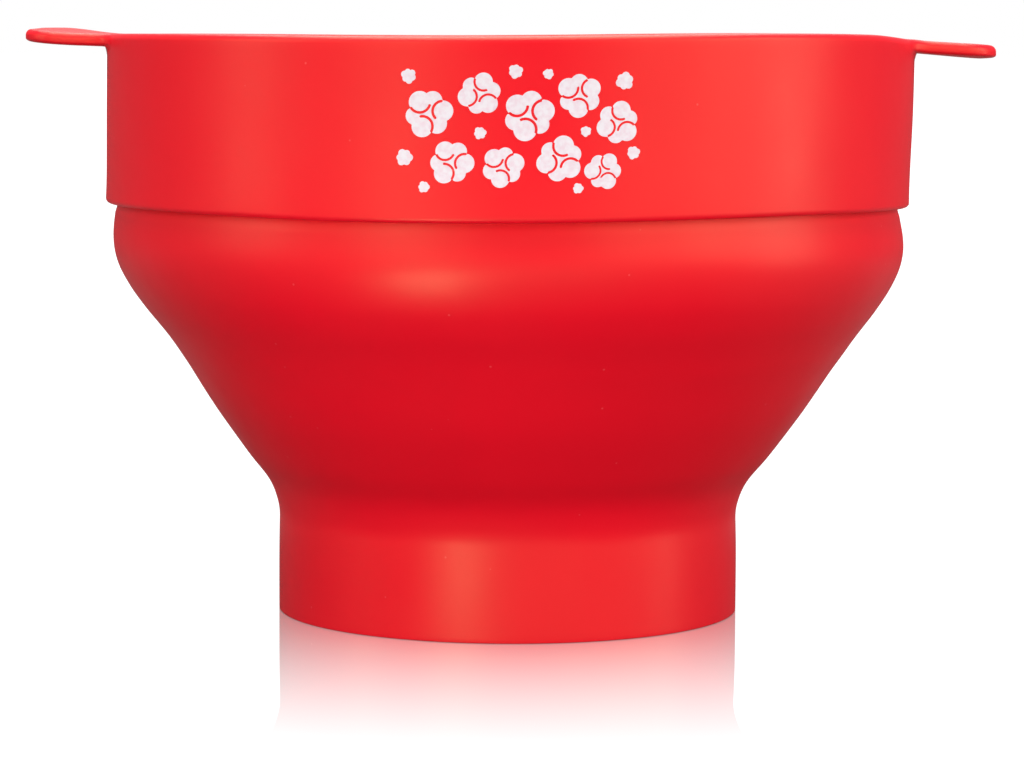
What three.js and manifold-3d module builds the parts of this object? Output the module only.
// A collapsible silicone popcorn maker for a microwave oven: a round bowl that stands on a narrow cup, with a
// wide rim band, two ear handles and a lift-out lid that drops into a rebate at the mouth.
// Millimetres, +Z up. The origin is on the table, under the middle of the base cup. The handles lie along X.
//
// The bowl is one moulding. Its sloping wall folds as the rim is pushed down, so the wall is made here as
// nested rings. Each ring is cut by upright cylinders, so neighbours slide past each other without touching.
import * as THREE from "three";
import { mergeVertices } from "three/addons/utils/BufferGeometryUtils.js";
import Module from "manifold-3d";

const wasm = await Module();
wasm.setup();

// ---- Driving dimensions ----
const rimHeight = 142.5; // table to the top of the rim, with the bowl standing open
const gap = 0.3; // between pieces that meet face to face

const baseRadius = 57.3; // outside of the base cup
const baseHeight = 26; // straight side of the base cup, up to where the wall starts to flare
const baseFloor = 3; // thickness of the bowl's floor
const baseEdge = 0.8; // rounding at the table
const baseInnerFillet = 6; // inside, between the floor and the side
const footWidth = 9; // flat ring that the bowl stands on
const footRecess = 0.8; // how far the underside is raised inside that ring
const baseLip = 2.2; // how far the flared top of the base cup reaches out before the first ring

const wall = 2.2; // flexible wall and side of the base cup
const ringCount = 8;

const bandRadius = 100;
const bandHeight = 42;
const bandWall = 4;
const bandStep = 2.7; // the band stands this much proud of the shoulder below it
const bandEdge = 1.3; // rounding of the band's outer edges
const bandInnerEdge = 0.7;

const handleReach = 19.5; // out from the band
const handleWidth = 44; // at the band
const handleTaper = 2.5; // each side, from the band to the tip
const handleCorner = 10;
const handleThickness = 3.1;

const rebateDepth = 8; // top of the rim down to the ledge that the lid rests on
const ledgeWidth = 1.5;
const lidClearance = 0.5; // between the lid's edge and the rebate
const lidThickness = 2.5;
const lidLipWidth = 3.5;
const lidBelowRim = 2.2; // top of the rim down to the top of the lid's lip
const wellRadius = 34; // finger well in the middle of the lid
const wellDepth = 6;
const wellDraft = 3; // the well's side leans out by this much
const ventCount = 4;
const ventRadius = 66; // middle of each curved steam slot
const ventWidth = 3.5;
const ventAngle = THREE.MathUtils.degToRad(24);

const tabWidth = 36;
const tabThickness = 4;
const tabCorner = 7;
const tabBelowRim = 0.9; // top of the rim down to the top of the pull tab

// The wall's outline between the base cup and the band, as shares of the way out (run) and up (rise).
const wallKnots = [
  { run: 0.042, rise: 0.067 }, // start of the flare
  { run: 0.135, rise: 0.134 }, // ankle, where the flare straightens
  { run: 0.395, rise: 0.322 }, // lower cone
  { run: 0.665, rise: 0.537 }, // upper cone
  { run: 0.9275, rise: 0.725 }, // foot of the shoulder
  { run: 1.015, rise: 0.857 }, // widest point of the shoulder
];

const SEGMENTS = 48; // sides of each round piece, the same for all, so that their facets nest
const WALL_SAMPLES = 240; // fine steps along the wall's outline, from which each piece takes its own few
const RING_STEPS = 1; // straight steps along each face of a ring
const SHOULDER_STEPS = 6;
const FLARE_STEPS = 4;
const EDGE_STEPS = 3; // straight steps round a rounded edge

// ---- Places that follow from the dimensions ----
const bandBottom = rimHeight - bandHeight;
const bandInnerRadius = bandRadius - bandWall;
const shoulderRadius = bandRadius - bandStep;
const foldRadius = shoulderRadius - wall - 2 * gap; // between the outermost ring and the shoulder
const flareRadius = baseRadius + baseLip; // between the base cup and the innermost ring
const ringWidth = (foldRadius - flareRadius) / ringCount;
const ledgeHeight = rimHeight - rebateDepth;
const rebateRadius = bandInnerRadius + ledgeWidth;

// ---- Materials ----
const silicone = () =>
  new THREE.MeshStandardMaterial({ color: 0xd81e28, roughness: 0.42, metalness: 0 });
const lidSilicone = () =>
  new THREE.MeshStandardMaterial({ color: 0xcc1a24, roughness: 0.45, metalness: 0 });

// ---- Outline helpers: points are (radius, height) ----
const at = (radius, height) => new THREE.Vector2(radius, height);

function roundedCorner(centreRadius, centreHeight, radius, fromDegrees, toDegrees, steps = EDGE_STEPS) {
  return Array.from({ length: steps + 1 }, (_, i) => {
    const angle = THREE.MathUtils.degToRad(THREE.MathUtils.lerp(fromDegrees, toDegrees, i / steps));
    return at(centreRadius + radius * Math.cos(angle), centreHeight + radius * Math.sin(angle));
  });
}

// The wall's outer face, from the top of the base cup's straight side up to the underside of the band.
function wallOutline() {
  const run = shoulderRadius - baseRadius;
  const rise = bandBottom - baseHeight;
  const knots = [
    at(baseRadius, baseHeight),
    ...wallKnots.map((k) => at(baseRadius + k.run * run, baseHeight + k.rise * rise)),
    at(shoulderRadius, bandBottom),
  ];
  const curve = new THREE.CatmullRomCurve3(
    knots.map((k) => new THREE.Vector3(k.x, k.y, 0)),
    false,
    "centripetal",
  );
  return curve.getPoints(WALL_SAMPLES).map((p) => at(p.x, p.y));
}

// The same line moved square to itself by the wall's thickness, towards the inside of the bowl.
function insetBy(line, thickness) {
  return line.map((p, i) => {
    const before = line[Math.max(0, i - 1)];
    const after = line[Math.min(line.length - 1, i + 1)];
    const along = after.clone().sub(before).normalize();
    return at(p.x - thickness * along.y, p.y + thickness * along.x);
  });
}

const outerFace = wallOutline();
const innerFace = insetBy(outerFace, wall);

// The height of a face where it first reaches a radius, going up from the base cup.
function heightAt(face, radius) {
  const i = face.findIndex((p) => p.x >= radius);
  if (i <= 0) return face[0].y;
  const share = (radius - face[i - 1].x) / (face[i].x - face[i - 1].x);
  return THREE.MathUtils.lerp(face[i - 1].y, face[i].y, share);
}

// A stretch of a face between two radii, in equal steps of radius.
function stretch(face, fromRadius, toRadius, steps) {
  return Array.from({ length: steps + 1 }, (_, i) => {
    const radius = THREE.MathUtils.lerp(fromRadius, toRadius, i / steps);
    return at(radius, heightAt(face, radius));
  });
}

// The part of a face above a radius, in equal steps along it, up to a height just under the band.
function upperStretch(face, fromRadius, topHeight, steps) {
  const start = at(fromRadius, heightAt(face, fromRadius));
  const rest = face.filter((p) => p.y > start.y && p.y < topHeight);
  const last = rest[rest.length - 1];
  const picked = Array.from({ length: steps - 1 }, (_, i) => rest[Math.round(((i + 1) / steps) * rest.length)]);
  return [start, ...picked, at(last.x, topHeight)];
}

// ---- Solids ----
// A round piece from its outline, given counterclockwise with the radius to the right and the height up.
function turned(outline, closed) {
  const points = closed ? [...outline, outline[0].clone()] : outline;
  const geometry = new THREE.LatheGeometry(points, SEGMENTS);
  geometry.rotateX(Math.PI / 2);
  return geometry;
}

function toSolid(geometry) {
  const bare = geometry.clone();
  bare.deleteAttribute("normal");
  bare.deleteAttribute("uv");
  const merged = mergeVertices(bare, 1e-4);
  return new wasm.Manifold(
    new wasm.Mesh({
      numProp: 3,
      vertProperties: new Float32Array(merged.attributes.position.array),
      triVerts: new Uint32Array(merged.index.array),
    }),
  );
}

function toGeometry(solid) {
  const mesh = solid.getMesh();
  const geometry = new THREE.BufferGeometry();
  geometry.setAttribute("position", new THREE.BufferAttribute(new Float32Array(mesh.vertProperties), 3));
  geometry.setIndex(new THREE.BufferAttribute(new Uint32Array(mesh.triVerts), 1));
  geometry.computeVertexNormals();
  return geometry;
}

function named(name, geometry, material) {
  const mesh = new THREE.Mesh(geometry, material);
  mesh.name = name;
  return mesh;
}

// Floor, straight side and the flared start of the wall. It stands on a flat ring round its underside.
function baseCup() {
  const lipRadius = flareRadius - gap / 2;
  const innerRadius = baseRadius - wall;
  const footInner = baseRadius - footWidth;
  const outline = [
    at(0, footRecess),
    at(footInner - footRecess, footRecess),
    at(footInner, 0),
    ...roundedCorner(baseRadius - baseEdge, baseEdge, baseEdge, -90, 0),
    ...stretch(outerFace, baseRadius, lipRadius, FLARE_STEPS),
    ...stretch(innerFace, innerRadius, lipRadius, FLARE_STEPS).reverse(),
    ...roundedCorner(innerRadius - baseInnerFillet, baseFloor + baseInnerFillet, baseInnerFillet, 0, -90),
    at(0, baseFloor),
  ];
  return named("base_cup", turned(outline, false), silicone());
}

// One ring of the folding wall, counted from the base cup outwards.
function wallRing(index) {
  const inside = flareRadius + index * ringWidth + gap / 2;
  const outside = flareRadius + (index + 1) * ringWidth - gap / 2;
  const outline = [
    ...stretch(outerFace, inside, outside, RING_STEPS),
    ...stretch(innerFace, inside, outside, RING_STEPS).reverse(),
  ];
  return named(`wall_ring_${index + 1}`, turned(outline, true), silicone());
}

// The bulging top of the wall, which stays with the band when the bowl folds.
function shoulderRing() {
  const inside = foldRadius + gap / 2;
  const top = bandBottom - gap;
  const outline = [
    ...upperStretch(outerFace, inside, top, SHOULDER_STEPS),
    ...upperStretch(innerFace, inside, top, SHOULDER_STEPS).reverse(),
  ];
  return named("shoulder_ring", turned(outline, true), silicone());
}

// The upright band round the mouth, with the rebate that the lid drops into.
function rimBand() {
  const outerCentre = bandRadius - bandEdge;
  const outline = [
    at(bandInnerRadius, bandBottom),
    ...roundedCorner(outerCentre, bandBottom + bandEdge, bandEdge, -90, 0),
    ...roundedCorner(outerCentre, rimHeight - bandEdge, bandEdge, 0, 90),
    at(rebateRadius + bandInnerEdge, rimHeight),
    at(rebateRadius, rimHeight - bandInnerEdge),
    at(rebateRadius, ledgeHeight),
    at(bandInnerRadius, ledgeHeight),
  ];
  return named("rim_band", turned(outline, true), silicone());
}

// A flat ear, level with the top of the rim. Side is +1 for the right handle and -1 for the left one.
function handle(name, side) {
  const rootRadius = bandRadius + gap;
  const rootAngle = Math.asin(handleWidth / 2 / rootRadius);
  const tip = bandRadius + handleReach;
  const tipHalf = handleWidth / 2 - handleTaper;
  const ear = new THREE.Shape();
  ear.absarc(0, 0, rootRadius, rootAngle, -rootAngle, true);
  ear.lineTo(tip - handleCorner, -tipHalf);
  ear.absarc(tip - handleCorner, -tipHalf + handleCorner, handleCorner, -Math.PI / 2, 0, false);
  ear.absarc(tip - handleCorner, tipHalf - handleCorner, handleCorner, 0, Math.PI / 2, false);
  const geometry = new THREE.ExtrudeGeometry(ear, {
    depth: handleThickness,
    bevelEnabled: false,
    curveSegments: 8,
  });
  const mesh = named(name, geometry, silicone());
  mesh.position.z = rimHeight - handleThickness;
  mesh.rotation.z = side > 0 ? 0 : Math.PI;
  return mesh;
}

// A curved steam slot, as a cutter that runs through the lid's plate.
function ventCutter(angle, fromHeight, height) {
  const slot = new THREE.Shape();
  const half = ventAngle / 2;
  slot.absarc(0, 0, ventRadius + ventWidth / 2, angle - half, angle + half, false);
  slot.absarc(0, 0, ventRadius - ventWidth / 2, angle + half, angle - half, true);
  const geometry = new THREE.ExtrudeGeometry(slot, { depth: height, bevelEnabled: false, curveSegments: 6 });
  geometry.translate(0, 0, fromHeight);
  return toSolid(geometry);
}

// The lid's plate with its raised lip, its finger well and its steam slots. It rests on the ledge in the rim.
function lidDisc() {
  const seat = ledgeHeight + gap;
  const plateTop = seat + lidThickness;
  const lidRadius = rebateRadius - lidClearance;
  const lipInner = lidRadius - lidLipWidth;
  const lipTop = rimHeight - lidBelowRim;
  const outline = [
    at(0, seat - wellDepth),
    at(wellRadius - wellDraft, seat - wellDepth),
    at(wellRadius, seat),
    at(lidRadius - bandInnerEdge, seat),
    at(lidRadius, seat + bandInnerEdge),
    ...roundedCorner(lidRadius - lidLipWidth / 2, lipTop - lidLipWidth / 2, lidLipWidth / 2, 0, 180),
    at(lipInner, plateTop),
    at(wellRadius - lidThickness / 2, plateTop),
    at(wellRadius - wellDraft - lidThickness / 2, plateTop - wellDepth),
    at(0, plateTop - wellDepth),
  ];
  let solid = toSolid(turned(outline, false));
  for (let i = 0; i < ventCount; i++) {
    const angle = ((i + 0.5) / ventCount) * 2 * Math.PI;
    solid = solid.subtract(ventCutter(angle, seat - lidThickness, 3 * lidThickness));
  }
  return named("lid_disc", toGeometry(solid), lidSilicone());
}

// The upright tongue in the finger well, which lifts the lid out.
function lidPullTab() {
  const foot = ledgeHeight + gap + lidThickness - wellDepth + gap;
  const half = tabWidth / 2;
  const height = rimHeight - tabBelowRim - foot;
  const tongue = new THREE.Shape();
  tongue.moveTo(-half, 0);
  tongue.lineTo(half, 0);
  tongue.lineTo(half, height - tabCorner);
  tongue.absarc(half - tabCorner, height - tabCorner, tabCorner, 0, Math.PI / 2, false);
  tongue.absarc(-half + tabCorner, height - tabCorner, tabCorner, Math.PI / 2, Math.PI, false);
  const geometry = new THREE.ExtrudeGeometry(tongue, {
    depth: tabThickness,
    bevelEnabled: false,
    curveSegments: 6,
  });
  geometry.translate(0, 0, -tabThickness / 2);
  const mesh = named("lid_pull_tab", geometry, lidSilicone());
  mesh.position.z = foot;
  mesh.rotation.x = Math.PI / 2;
  return mesh;
}

// ---- The whole object ----
const popcornMaker = new THREE.Group();

const foldingWall = new THREE.Group();
for (let i = 0; i < ringCount; i++) foldingWall.add(wallRing(i));

const rim = new THREE.Group();
rim.add(rimBand(), shoulderRing(), handle("handle_right", 1), handle("handle_left", -1));

const lid = new THREE.Group();
lid.add(lidDisc(), lidPullTab());

popcornMaker.add(baseCup(), foldingWall, rim, lid);

export default popcornMaker;
